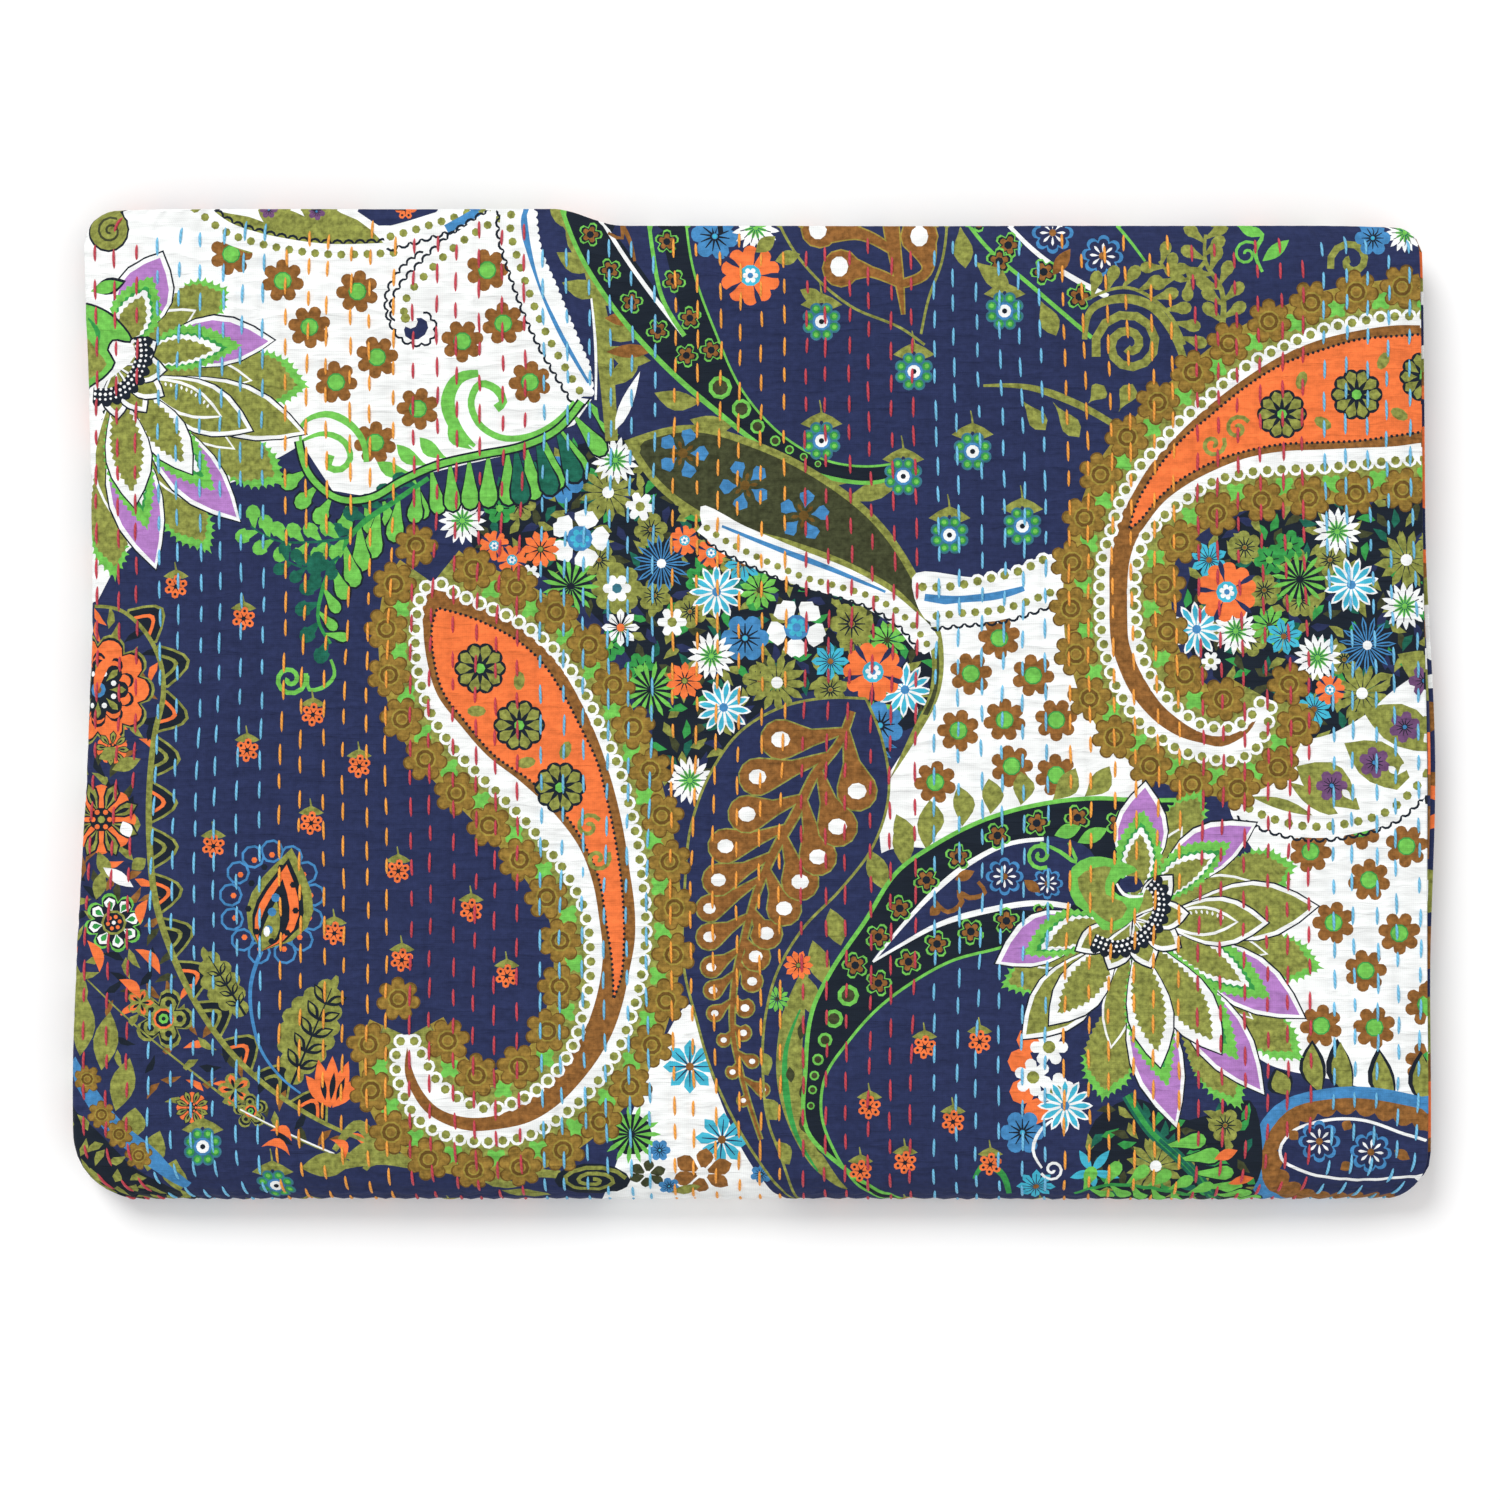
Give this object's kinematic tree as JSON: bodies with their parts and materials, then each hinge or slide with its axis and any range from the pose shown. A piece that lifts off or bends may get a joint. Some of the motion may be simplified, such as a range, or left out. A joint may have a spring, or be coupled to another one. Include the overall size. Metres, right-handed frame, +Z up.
{
  "type": "folded kantha quilt",
  "caption": "Printed cotton quilt with rows of running stitch, folded in half and then in quarters to a soft flat packet.",
  "frame": {"origin": "on the surface it lies on, under the middle of the packet's outline", "axes": "+X along the wide side, from the folded side to the hems; +Z up through the layers; -Y to the front edge, where the outermost layer wraps round"},
  "size_m": [0.7706, 0.5606, 0.0446],
  "materials": {
    "printed_cotton": "matt printed cotton, quilted with running stitch"
  },
  "bodies": {
    "root": {"quilt": "printed_cotton"}
  },
  "joints": []
}
